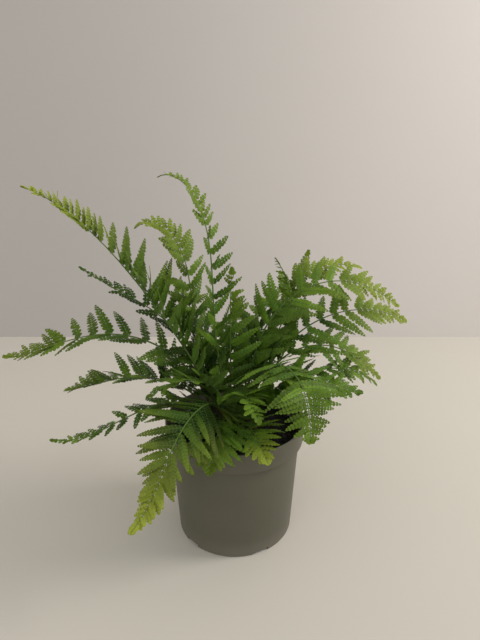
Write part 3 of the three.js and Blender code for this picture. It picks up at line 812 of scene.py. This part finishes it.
class FrondMaker:
    """Makes one frond: its grooved stalk, its pinnae cut into toothed pinnules, and its scales."""

    BLADE, STALK, SCALE = range(3)

    def __init__(self, frond, pitch, forms, seed):
        self.frond = frond
        self.forms = forms
        self.random = np.random.default_rng(seed)
        self.sheaf = Sheaf()
        self.slim, self.overlap, stretch = (
            np.interp(frond.filled, FILLED, ends) for ends in (PINNA_SLIM, PINNULE_OVERLAP, PITCH_STRETCH)
        )
        self.pitch = pitch * stretch

    def mesh(self):
        node = "frond_" + self.frond.name
        self.add_stalk()
        self.add_stalk_scales()
        corners = corners_of(node)
        for which in (-1, 1):
            self.add_row(which, corners)
        last = pinna_pair(self.frond, self.frond.pairs - 1)
        at, end = station(self.frond, last.distance), station(self.frond, self.frond.length)
        half = last.half * 0.5 + 0.2
        self.add_leaflet("toothed", at.point, end.point, end.up, half, 1, self.frond.tone)
        return self.sheaf.mesh(node)

    def add_row(self, which, corners):
        """One side's pinnae: the solid's own, with finer ones between them and on to the tip."""
        frond = self.frond
        pairs = [pinna_pair(frond, number) for number in range(frond.pairs)]
        own = [fitted_pinna(frond, pair, which, corners) for pair in pairs]
        for number, (pair, pinna) in enumerate(zip(pairs, own)):
            if pinna:
                slim = self.slim if pair.share < FINE_TIP_FROM else SLIM_IN_TIP
                self.add_varied(pair, which, pinna.bend, pinna.kept, slim)
            if number and pinna and own[number - 1]:
                self.add_between(number, which, own[number - 1], pinna)
        if own[-1]:
            for past in PAST_LAST_PAIR:
                pair = pinna_pair(frond, frond.pairs - 1 + past)
                self.add_varied(pair, which, own[-1].bend, own[-1].kept, SLIM_IN_TIP)

    def add_between(self, number, which, before, pinna):
        """The pinna between two of the solid's, in the full part of a blade and near its tip."""
        full = pinna.share < self.frond.filled and self.random.random() > MISSING_BETWEEN
        if full or pinna.share > FINE_TIP_FROM:
            pair = pinna_pair(self.frond, number - 0.5)
            bend = (pinna.bend + before.bend) / 2 + BETWEEN_LIFT
            kept = min(pinna.kept, before.kept) * BETWEEN_LENGTH
            self.add_varied(pair, which, bend, kept, self.slim if full else SLIM_IN_TIP)

    def add_varied(self, pair, which, bend, kept, slim):
        """Adds a pinna that wanders a little from its regular place."""
        draw = self.random
        bend += WANDER_UP * draw.normal()
        kept *= 1 + WANDER_IN_LENGTH * draw.uniform(-1, 0.6)
        round_way = WANDER_ROUND * draw.normal()
        self.add_pinna(Pinna(self.frond, pair, which, bend, kept, slim, round_way))

    def youth_at(self, share):
        """How yellow the frond is, from nearly none at its foot to its most at the tip."""
        return self.frond.youth * smooth_step((share - YOUNG_FROM) / (1 - YOUNG_FROM)) ** YOUNG_POWER

    def add_stalk(self):
        frond = self.frond
        count = math.ceil((frond.length + SOCKET_DEPTH) / STALK_SPACING)
        distances = np.linspace(-SOCKET_DEPTH, frond.length * STALK_END, count)
        stations = []
        for distance in distances:
            at = station(frond, distance)
            stations.append((at.point, at.side, at.up, stalk_half(frond, distance) * STALK_SLIM))
        form = sweep(stations, STALK_SIDES, STALK_GROOVE)
        centres = np.array([point for point, *_ in stations])
        nearest = np.linalg.norm(form.points[:, None] - centres, axis=2).argmin(axis=1)
        share = np.maximum(distances[nearest] / frond.length, 0)[None]
        youth = self.youth_at(share) * STALK_YOUTH
        self.sheaf.add(form, in_pot(frond, form.points)[None], self.STALK, 0, youth, share)

    def add_stalk_scales(self):
        """Thin scales that point up the stalk, dense at its foot and small further up."""
        draw = self.random
        for _ in range(STALK_SCALES):
            share = draw.random() ** SCALES_TO_FOOT * SCALED_SHARE
            distance = 1 + share * self.frond.length
            at = station(self.frond, distance)
            outward = turned_about(at.side, at.up, draw.random() * math.tau)[0]
            sideways = np.cross(at.along, outward)
            out = turned_about(at.along, outward, math.radians(draw.uniform(8, 42)))[0]
            start = at.point + outward * stalk_half(self.frond, distance) * 0.7
            size = STALK_SCALE * draw.uniform(0.6, 1) * (1 - 0.6 * share / SCALED_SHARE)
            self.add_leaf("scale", start, (out, sideways, np.cross(out, sideways)), size, self.SCALE)

    def add_leaf(self, form, start, axes, size, finish, **marks):
        """Adds one leaflet or scale, with a tone that is drawn for each and kept where none is given."""
        marks = {"tone": self.random.uniform(-1, 1), **marks}
        points = leaf_points(self.forms[form], start, *axes, *size)
        self.sheaf.add(self.forms[form], in_pot(self.frond, points), finish, **marks)

    def add_leaflet(self, form, first, last, up, half, share, tone):
        """A single leaflet from one point to another, as yellow as the blade is at a share."""
        size = (np.linalg.norm(last - first), half)
        marks = {"tone": tone, "youth": self.youth_at(share), "place": 1}
        self.add_leaf(form, first, blade_axes(last - first, up), size, self.BLADE, **marks)

    def add_pinna(self, pinna):
        draw = self.random
        curve = FORWARD_CURVE * draw.uniform(0.2, 1)
        sag = draw.uniform(*MORE_SAG)
        twist = math.radians(draw.uniform(-PINNA_TWIST, PINNA_TWIST))
        # Painted shade: pinnae near the stalk's foot, in the plant's shaded middle, are deepened, and the
        # frond's own tone deepens the fronds that stand in shade
        shade_at_foot = PAINTED_SHADE_AT_FOOT * (1 - pinna.share) ** 2
        tone = self.frond.tone + LIGHTER_AT_TIP - shade_at_foot + draw.normal(0, TONE_SPREAD)
        if pinna.length < LEAST_CUT_PINNA:
            form = "toothed" if pinna.length > LEAST_TOOTHED else "plain"
            tip = pinna.place(pinna.length)
            self.add_leaflet(form, pinna.root, tip, pinna.face, pinna.half, pinna.share, tone)
        else:
            pinna.bow = curve * pinna.across - (SAG + sag) * pinna.face
            self.add_rib(pinna)
            self.add_pinnules(pinna, twist, tone)

    def add_rib(self, pinna):
        """The pinna's rib, as a thin tapered rod from the stalk to the tip."""
        first, last = RIB_ENDS
        points = pinna.place(np.linspace(first, pinna.length * last, RIB_STATIONS))
        halves = np.linspace(*RIB_HALF, RIB_STATIONS) * (0.6 + 0.4 * min(pinna.length / FULL_RIB_FROM, 1))
        _, sides, ups = blade_axes(np.gradient(points, axis=0), pinna.face)
        form = sweep(list(zip(points, sides, ups, halves)), RIB_SIDES)
        youth = self.youth_at(pinna.share)
        self.sheaf.add(form, in_pot(self.frond, form.points)[None], self.STALK, 0, youth, 1)

    def add_pinnules(self, pinna, twist, tone):
        """The two rows of pinnules and the leaflet at the pinna's tip."""
        draw = self.random
        pairs = int(np.clip(round(pinna.length / self.pitch), LEAST_PAIRS, MOST_PAIRS))
        steps = 1 - (1 - np.arange(pairs + 1) / (pairs + TIP_LEAFLET_ROOM)) ** PINNULE_CROWDING
        shares = np.tile((steps[:-1] + steps[1:]) / 2, 2)
        pitch = np.tile(np.diff(steps) * pinna.length, 2)
        count = 2 * pairs
        sides = np.repeat([-1.0, 1.0], pairs)
        start = pinna.place(shares * pinna.length)
        ahead = unit(pinna.rib + row(2 * shares) * pinna.bow)
        across = unit(pinna.across - ahead * row(ahead @ pinna.across))
        face = np.cross(ahead, across) * pinna.which
        face *= row(np.sign(face @ pinna.face))
        across, face = turned_about(across, face, twist)
        rake = np.radians(PINNULE_RAKE + MORE_RAKE_AT_TIP * shares**2 + draw.normal(0, RAKE_SPREAD, count))
        out = row(np.cos(rake) * sides) * across + row(np.sin(rake)) * ahead
        tilt = np.radians(PINNULE_TILT + draw.normal(0, TILT_SPREAD, count)) * sides
        wide, face = turned_about(np.cross(face, out), face, tilt)
        face, out = turned_about(face, out, np.radians(PINNULE_DIP + draw.normal(0, DIP_SPREAD, count)))
        length = pinna.half * envelope(shares) / np.cos(rake) * draw.uniform(*PINNULE_LENGTHS, count)
        half = pitch / 2 * self.overlap * np.cos(rake)
        youth = self.youth_at(pinna.share) + YOUNGER_PINNA_TIP * shares**2 * self.frond.youth
        toothed = length > LEAST_TOOTHED
        for form, chosen in ((self.forms["toothed"], toothed), (self.forms["plain"], ~toothed)):
            if chosen.any():
                parts = (part[chosen] for part in (start, out, wide, face, length, half))
                placed = in_pot(self.frond, leaf_points(form, *parts))
                tones = tone + draw.normal(0, PINNULE_TONE_SPREAD, len(placed))
                self.sheaf.add(form, placed, self.BLADE, tones, youth[chosen], 1)
        first, last = pinna.place([steps[-1] * pinna.length * 0.96, pinna.length])
        half = pinna.half * envelope(steps[-1]) * 0.8 + 0.15
        self.add_leaflet("toothed", first, last, pinna.face, half, pinna.share, tone)


def leaf_points(form, start, out, wide, face, length, half):
    """A blade form placed at each start, with its length, half width, cup and droop."""
    along, across, side = form.points.T
    start, out, wide, face = (np.atleast_2d(vectors)[:, None] for vectors in (start, out, wide, face))
    length, half = (row(np.atleast_1d(sizes)) for sizes in (length, half))
    cup, droop = PINNULE_CUP * half * across**2, PINNULE_DROOP * length * along**2
    height = side * PINNULE_THICKNESS / 2 - cup - droop
    return start + out * row(length * along) + wide * row(half * across) + face * row(height)


def blade_axes(out, up):
    """A blade's way out, its width and its face, where it faces up."""
    out = unit(out)
    wide = unit(np.cross(up, out))
    return out, wide, np.cross(out, wide)


def turned_about(first, second, angle):
    """Two square vectors, turned in their plane from the first towards the second."""
    cos, sin = row(np.cos(angle)), row(np.sin(angle))
    return first * cos + second * sin, second * cos - first * sin


# The pieces


def make_pot(sizes):
    """The pot: a tapered body, a rim band with a ledge under it, a floor and five drain notches."""
    top, ledge = sizes.height, sizes.height - sizes.rim_band
    rim, body, base = sizes.rim_radius, sizes.body_top_radius, sizes.base_radius
    band_foot = rim - sizes.band_taper
    wall, edge = sizes.wall, sizes.edge
    profile = [
        (0, 0),
        (base - edge, 0),
        (base, edge),
        (body, ledge - GROOVE_HEIGHT),
        (body - GROOVE_DEPTH, ledge - 0.7 * GROOVE_HEIGHT),
        (body - GROOVE_DEPTH, ledge),
        (band_foot, ledge),
        (rim - 0.1 * edge, top - 3 * edge),
        (rim, top - 2.4 * edge),
        (rim, top - 0.7 * edge),
        (rim - 0.6 * edge, top),
        (rim - wall + 0.3 * edge, top),
        (rim - wall, top - 0.4 * edge),
        (band_foot - wall, ledge + sizes.rim_ledge),
        (base - wall + (body - base), ledge),
        (base - wall + (body - base) * sizes.floor / ledge, sizes.floor),
        (0, sizes.floor),
    ]
    bm = lathe(profile, POT_SIDES)
    soften(bm, EDGE_ROUNDING, 2)
    pot = link(mesh_of(bm, "pot_body"), "pot_body", [])
    cutter = link(notch_mesh(base), "notch_cutter", [])
    cut = pot.modifiers.new("notches", "BOOLEAN")
    cut.operation = "DIFFERENCE"
    cut.solver = "EXACT"
    cut.object = cutter
    shaped = bpy.data.meshes.new_from_object(pot.evaluated_get(bpy.context.evaluated_depsgraph_get()))
    for spare in (pot, cutter):
        bpy.data.objects.remove(spare)
    shaped.set_sharp_from_angle(angle=CRISP_ANGLE)
    return link(shaped, "nursery_pot", [pot_finish(sizes)])


def notch_mesh(radius):
    """The blocks that the drain notches are cut with, round a circle."""
    bm = bmesh.new()
    size = Matrix.Diagonal((2 * NOTCH_DEPTH, NOTCH_WIDTH, 2 * NOTCH_HEIGHT, 1))
    for i in range(NOTCHES):
        turn = Matrix.Rotation(math.radians(FIRST_NOTCH + 360 / NOTCHES * i), 4, "Z")
        bmesh.ops.create_cube(bm, size=1, matrix=turn @ Matrix.Translation((radius, 0, 0)) @ size)
    return mesh_of(bm, "notch_cutter", smooth=False)


def fractal(point):
    return noise.fractal(point, 0.9, 2.1, 4)


def soil_height(x, y):
    """The height of the soil over its level: the lumps of the solid, with finer ones on them."""
    lump = math.sin(x / 4.1 + 1.7 * math.sin(y / 6.3)) * math.cos(y / 5.2)
    return 0.75 * lump + 0.7 * fractal(Vector((x, y, 0)) * 0.32)


def sheaf_on(bm):
    """A sheaf that starts with a mesh made in millimetres."""
    bmesh.ops.scale(bm, vec=(MM, MM, MM), verts=bm.verts)
    form = Form(bm)
    sheaf = Sheaf()
    sheaf.add(form, form.points[None], 0)
    return sheaf


def make_soil(sizes):
    """The soil: a lumpy top with crumbs, fibres and chips of bark lying on it."""
    draw = np.random.default_rng(SOIL_SEED)
    top, bottom = SOIL_HIGH.x / MM - 0.1, SOIL_LOW.z / MM
    profile = [(0, bottom), (SOIL_HIGH.x / MM * 0.9, bottom), (top, SOIL_LEVEL - 4)]
    profile += [(top * share, SOIL_LEVEL) for share in np.linspace(1, 0, sizes.soil_rings)]
    bm = lathe(profile, SOIL_SIDES)
    for vert in bm.verts:
        if vert.co.z > SOIL_LEVEL - 1:
            vert.co.z += soil_height(vert.co.x, vert.co.y)
    sheaf = sheaf_on(bm)
    form = crumb()
    for one_in, (least, most), stretch, tones in LITTER:
        count = sizes.crumbs // one_in
        distance = np.sqrt(draw.uniform((CROWN_HIGH.x / MM * 0.8) ** 2, (top - 1.2) ** 2, count))
        angle = draw.uniform(0, math.tau, count)
        x, y = distance * np.cos(angle), distance * np.sin(angle)
        size = least + (most - least) * draw.random(count) ** 2
        ground = np.array([soil_height(*place) for place in zip(x, y)]) + SOIL_LEVEL
        centre = np.stack([x, y, ground + size * stretch[2] * 0.35], axis=1)
        lumps = form.points * draw.uniform(0.7, 1.15, (count, len(form.points), 1))
        lumps = lumps * np.array(stretch) * row(row(size))
        turns = np.array([random_turn(draw) for _ in range(count)])
        points = np.einsum("kij,knj->kni", turns, lumps) + centre[:, None]
        points[..., 2] = np.maximum(points[..., 2], SOIL_LEVEL - 3)
        sheaf.add(form, points * MM, 0, draw.uniform(*tones, count))
    return link(sheaf.mesh("potting_soil"), "potting_soil", [soil_finish(sizes)])


def random_turn(draw):
    """A turn about the upright, with a small tilt."""
    spin = Matrix.Rotation(draw.uniform(0, math.tau), 3, "Z")
    tilt = Matrix.Rotation(draw.normal(0, 0.25), 3, "X") @ Matrix.Rotation(draw.normal(0, 0.25), 3, "Y")
    return np.array(tilt @ spin)


def crown_height(distance):
    """The crown's height over the soil at a distance from its middle."""
    share = min(distance / (CROWN_HIGH.x / MM), 1)
    return (CROWN_HIGH.z / MM - SOIL_LEVEL) * (1 - share**2.6)


def make_crown(looks, scale_form):
    """The crown: a lumpy mound that the stalks stand in, shaggy with brown scales."""
    draw = np.random.default_rng(CROWN_SEED)
    radius, rise = CROWN_HIGH.x / MM, CROWN_HIGH.z / MM - SOIL_LEVEL
    bm = bmesh.new()
    bmesh.ops.create_icosphere(bm, subdivisions=5, radius=1)
    for vert in bm.verts:
        depth = rise if vert.co.z > 0 else SOIL_LEVEL - CROWN_LOW.z / MM
        rough = 1 + 0.09 * fractal(vert.co * 5) - 0.09
        vert.co = [part * size * rough for part, size in zip(vert.co, (radius, radius, depth))]
    bmesh.ops.translate(bm, verts=bm.verts, vec=(0, 0, SOIL_LEVEL))
    sheaf = sheaf_on(bm)
    places = []
    for _ in range(CROWN_SCALES):
        places.append((draw.uniform(0, math.tau), radius * math.sqrt(draw.random()) * 0.98))
    for frond in FRONDS:
        foot = placement(frond)[1][:2]
        for _ in range(FOOT_SCALES):
            x, y = foot + draw.normal(0, 2.1, 2)
            places.append((math.atan2(y, x), math.hypot(x, y)))
    for angle, distance in places:
        add_crown_scale(sheaf, scale_form, draw, angle, min(distance, radius * 0.97))
    return link(sheaf.mesh("fern_crown"), "fern_crown", [crown_finish(looks), scale_finish(looks)])


def add_crown_scale(sheaf, form, draw, angle, distance):
    """A scale on the crown, which leans outwards and upwards."""
    outward = np.array([math.cos(angle), math.sin(angle), 0])
    start = outward * distance + UP * (SOIL_LEVEL + crown_height(distance) - 0.8)
    level = turned_about(outward, np.cross(UP, outward), draw.normal(0, 0.5))[0]
    out = turned_about(level, UP, math.radians(draw.uniform(15, 75)))[0]
    size = CROWN_SCALE * draw.uniform(0.6, 1.15)
    points = leaf_points(form, start, *blade_axes(out, UP), *size)
    sheaf.add(form, points * MM, 1, draw.uniform(-1, 1))


# Settings


def length_setting(name, default):
    return FloatProperty(name=name, description=name + " of the pot", default=default, min=0, unit="LENGTH")


def power_setting(name, default):
    return FloatProperty(name=name, description=name + " in watts", default=default, min=0, unit="POWER")


def colour_setting(name, default):
    about = "Colour of the " + name.lower()
    return FloatVectorProperty(
        name=name, description=about, default=default, min=0, max=1, subtype="COLOR", size=3
    )


class FernPotSettings(bpy.types.PropertyGroup):
    """The pot's sizes and plastic."""

    height: length_setting("Height", POT_HIGH.z)
    rim_radius: length_setting("Rim radius", POT_HIGH.x)
    rim_band: length_setting("Rim band height", 19 * MM)
    rim_ledge: length_setting("Inner ledge height", 3.4 * MM)
    band_taper: length_setting("Rim band taper", 0.9 * MM)
    body_top_radius: length_setting("Body radius", 60.4 * MM)
    base_radius: length_setting("Base radius", 55 * MM)
    wall: length_setting("Wall thickness", 1.6 * MM)
    floor: length_setting("Floor thickness", 2.6 * MM)
    edge: length_setting("Edge rounding", 0.9 * MM)
    plastic_light: colour_setting("Lighter plastic", (0.12, 0.116, 0.08))
    plastic_dark: colour_setting("Deeper plastic", (0.094, 0.091, 0.062))
    dust: colour_setting("Dust", (0.34, 0.3, 0.25))


class FernSoilSettings(bpy.types.PropertyGroup):
    """The soil, the crown and the papery scales."""

    soil_rings: IntProperty(name="Rings", description="Rings of the soil's top", default=34, min=8)
    crumbs: IntProperty(name="Crumbs", description="Crumbs that lie on the soil", default=1100, min=0)
    # Painted shade: the damp soil is set near black, as it lies in shade inside the pot
    soil_dark_and_shade: colour_setting("Damp soil", (0.0025, 0.0025, 0.0022))
    soil_brown: colour_setting("Drier crumbs", (0.02, 0.0165, 0.012))
    scale_dark: colour_setting("Darker scales", (0.06, 0.028, 0.012))
    scale_light: colour_setting("Paler scales", (0.3, 0.17, 0.08))


class FernFrondSettings(bpy.types.PropertyGroup):
    """The fronds' cut and colours."""

    pinnule_pitch: FloatProperty(
        name="Pinnule spacing", description="Spacing of the pinnules in millimetres", default=2.5, min=1
    )
    # The blade's green in full light, and its deeper green, which is also painted shade for blades in shade
    leaf_green: colour_setting("Blade in full light", (0.11, 0.235, 0.013))
    dark_and_shaded_green: colour_setting("Darker blade", (0.008, 0.034, 0.002))
    young_green: colour_setting("Young tips", (0.36, 0.42, 0.04))
    vein_green: colour_setting("Veins", (0.24, 0.36, 0.05))
    under_green: colour_setting("Underside", (0.13, 0.23, 0.045))
    stalk_green: colour_setting("Upper stalk", (0.09, 0.17, 0.03))
    stalk_brown: colour_setting("Foot of the stalk", (0.075, 0.042, 0.02))


class FernStageSettings(bpy.types.PropertyGroup):
    """The floor, the wall and the lights."""

    floor_colour: colour_setting("Floor", (0.695, 0.66, 0.585))
    wall_colour: colour_setting("Wall", (0.71, 0.675, 0.645))
    key_power: power_setting("Key light", 6.8)
    fill_power: power_setting("Fill light", 2.9)
    sky_strength: FloatProperty(name="Sky", description="Strength of the light all round", default=0.62)


SETTINGS = {
    "fern_pot": FernPotSettings,
    "fern_soil": FernSoilSettings,
    "fern_fronds": FernFrondSettings,
    "fern_stage": FernStageSettings,
}


# Operators


class FERN_OT_pot(bpy.types.Operator):
    """Make the nursery pot"""

    bl_idname = "fern.pot"
    bl_label = "Pot"

    def execute(self, context):
        dress(make_pot(context.scene.fern_pot), "pot")
        return {"FINISHED"}


class FERN_OT_soil(bpy.types.Operator):
    """Make the soil with its crumbs"""

    bl_idname = "fern.soil"
    bl_label = "Soil"

    def execute(self, context):
        dress(make_soil(context.scene.fern_soil), "soil")
        return {"FINISHED"}


class FERN_OT_crown(bpy.types.Operator):
    """Make the crown that the fronds stand in"""

    bl_idname = "fern.crown"
    bl_label = "Crown"

    def execute(self, context):
        dress(make_crown(context.scene.fern_soil, lens(SCALE_EDGE, SCALE_RIB)), "crown")
        return {"FINISHED"}


class FERN_OT_fronds(bpy.types.Operator):
    """Make the fronds, each as one piece"""

    bl_idname = "fern.fronds"
    bl_label = "Fronds"

    def execute(self, context):
        looks = context.scene.fern_fronds
        finishes = [blade_finish(looks), stalk_finish(looks), scale_finish(context.scene.fern_soil)]
        forms = {
            "toothed": lens(TOOTHED_EDGE, PINNULE_RIB),
            "plain": lens(PLAIN_EDGE, PINNULE_RIB),
            "scale": lens(SCALE_EDGE, SCALE_RIB),
        }
        for seed, frond in enumerate(FRONDS):
            mesh = FrondMaker(frond, looks.pinnule_pitch, forms, seed).mesh()
            dress(link(mesh, "leafy_" + frond.name, finishes), "frond_" + frond.name)
        return {"FINISHED"}


class FERN_OT_stage(bpy.types.Operator):
    """Make the floor, the wall, the lights and the camera"""

    bl_idname = "fern.stage"
    bl_label = "Stage"

    def execute(self, context):
        looks = context.scene.fern_stage
        make_room(looks)
        make_lights(looks)
        make_camera(context.scene)
        return {"FINISHED"}


def make_room(looks):
    """A pale floor, and a pale wall that is seen from its front only and so never hides the plant."""
    # Painted light on the left of the floor, and painted shade on the left of the wall
    floor = plain_finish("pale_floor", looks.floor_colour, FLOOR_PAINTED_LIGHT_ON_LEFT)
    wall = plain_finish("pale_wall", looks.wall_colour, WALL_PAINTED_SHADE_ON_LEFT)
    wall.show_front_only()
    upright = Matrix.Translation((0, WALL_BEHIND, FLOOR_REACH)) @ Matrix.Rotation(math.pi / 2, 4, "X")
    for name, finish, place in (("floor", floor, Matrix.Identity(4)), ("wall", wall, upright)):
        bm = bmesh.new()
        bmesh.ops.create_grid(bm, x_segments=1, y_segments=1, size=FLOOR_REACH, matrix=place)
        link(mesh_of(bm, name), name, [finish.material])


def area_light(name, power, place, size, colour):
    light = bpy.data.lights.new(name, "AREA")
    light.shape = "DISK"
    light.size = size
    light.energy = power
    light.color = colour
    lamp = bpy.data.objects.new(name, light)
    lamp.location = place
    lamp.rotation_euler = (LAMPS_AIM - lamp.location).to_track_quat("-Z", "Y").to_euler()
    bpy.context.scene.collection.objects.link(lamp)


def make_lights(looks):
    area_light("key", looks.key_power, *KEY_LAMP)
    area_light("fill", looks.fill_power, *FILL_LAMP)
    world = bpy.data.worlds.new("soft_room")
    world.use_nodes = True
    background = world.node_tree.nodes["Background"]
    background.inputs["Color"].default_value = SKY_COLOUR
    background.inputs["Strength"].default_value = looks.sky_strength
    bpy.context.scene.world = world
    bpy.context.scene.view_settings.view_transform = "Standard"


def make_camera(scene):
    settings = bpy.data.cameras.new("camera")
    settings.lens = CAMERA_LENS
    settings.sensor_width = SENSOR
    camera = bpy.data.objects.new("camera", settings)
    camera.location = CAMERA_PLACE
    camera.rotation_euler = (math.radians(90 - CAMERA_PITCH), 0, 0)
    scene.collection.objects.link(camera)
    scene.camera = camera


OPERATORS = (FERN_OT_pot, FERN_OT_soil, FERN_OT_crown, FERN_OT_fronds, FERN_OT_stage)


class FERN_PT_panel(bpy.types.Panel):
    """The fern's settings, with a button for each group of pieces"""

    bl_label = "Potted male fern"
    bl_idname = "FERN_PT_panel"
    bl_space_type = "VIEW_3D"
    bl_region_type = "UI"
    bl_category = "Fern"

    def draw(self, context):
        for name, group in SETTINGS.items():
            settings = getattr(context.scene, name)
            column = self.layout.column(heading=group.__doc__)
            for setting in group.__annotations__:
                column.prop(settings, setting)
        for operator in OPERATORS:
            self.layout.operator(operator.bl_idname)


CLASSES = (*SETTINGS.values(), *OPERATORS, FERN_PT_panel)


def register():
    for cls in CLASSES:
        bpy.utils.register_class(cls)
    for name, group in SETTINGS.items():
        setattr(bpy.types.Scene, name, PointerProperty(type=group))


def unregister():
    for name in SETTINGS:
        delattr(bpy.types.Scene, name)
    for cls in reversed(CLASSES):
        bpy.utils.unregister_class(cls)


def main():
    register()
    bpy.ops.fern.pot()
    bpy.ops.fern.soil()
    bpy.ops.fern.crown()
    bpy.ops.fern.fronds()
    bpy.ops.fern.stage()


if __name__ == "__main__":
    main()
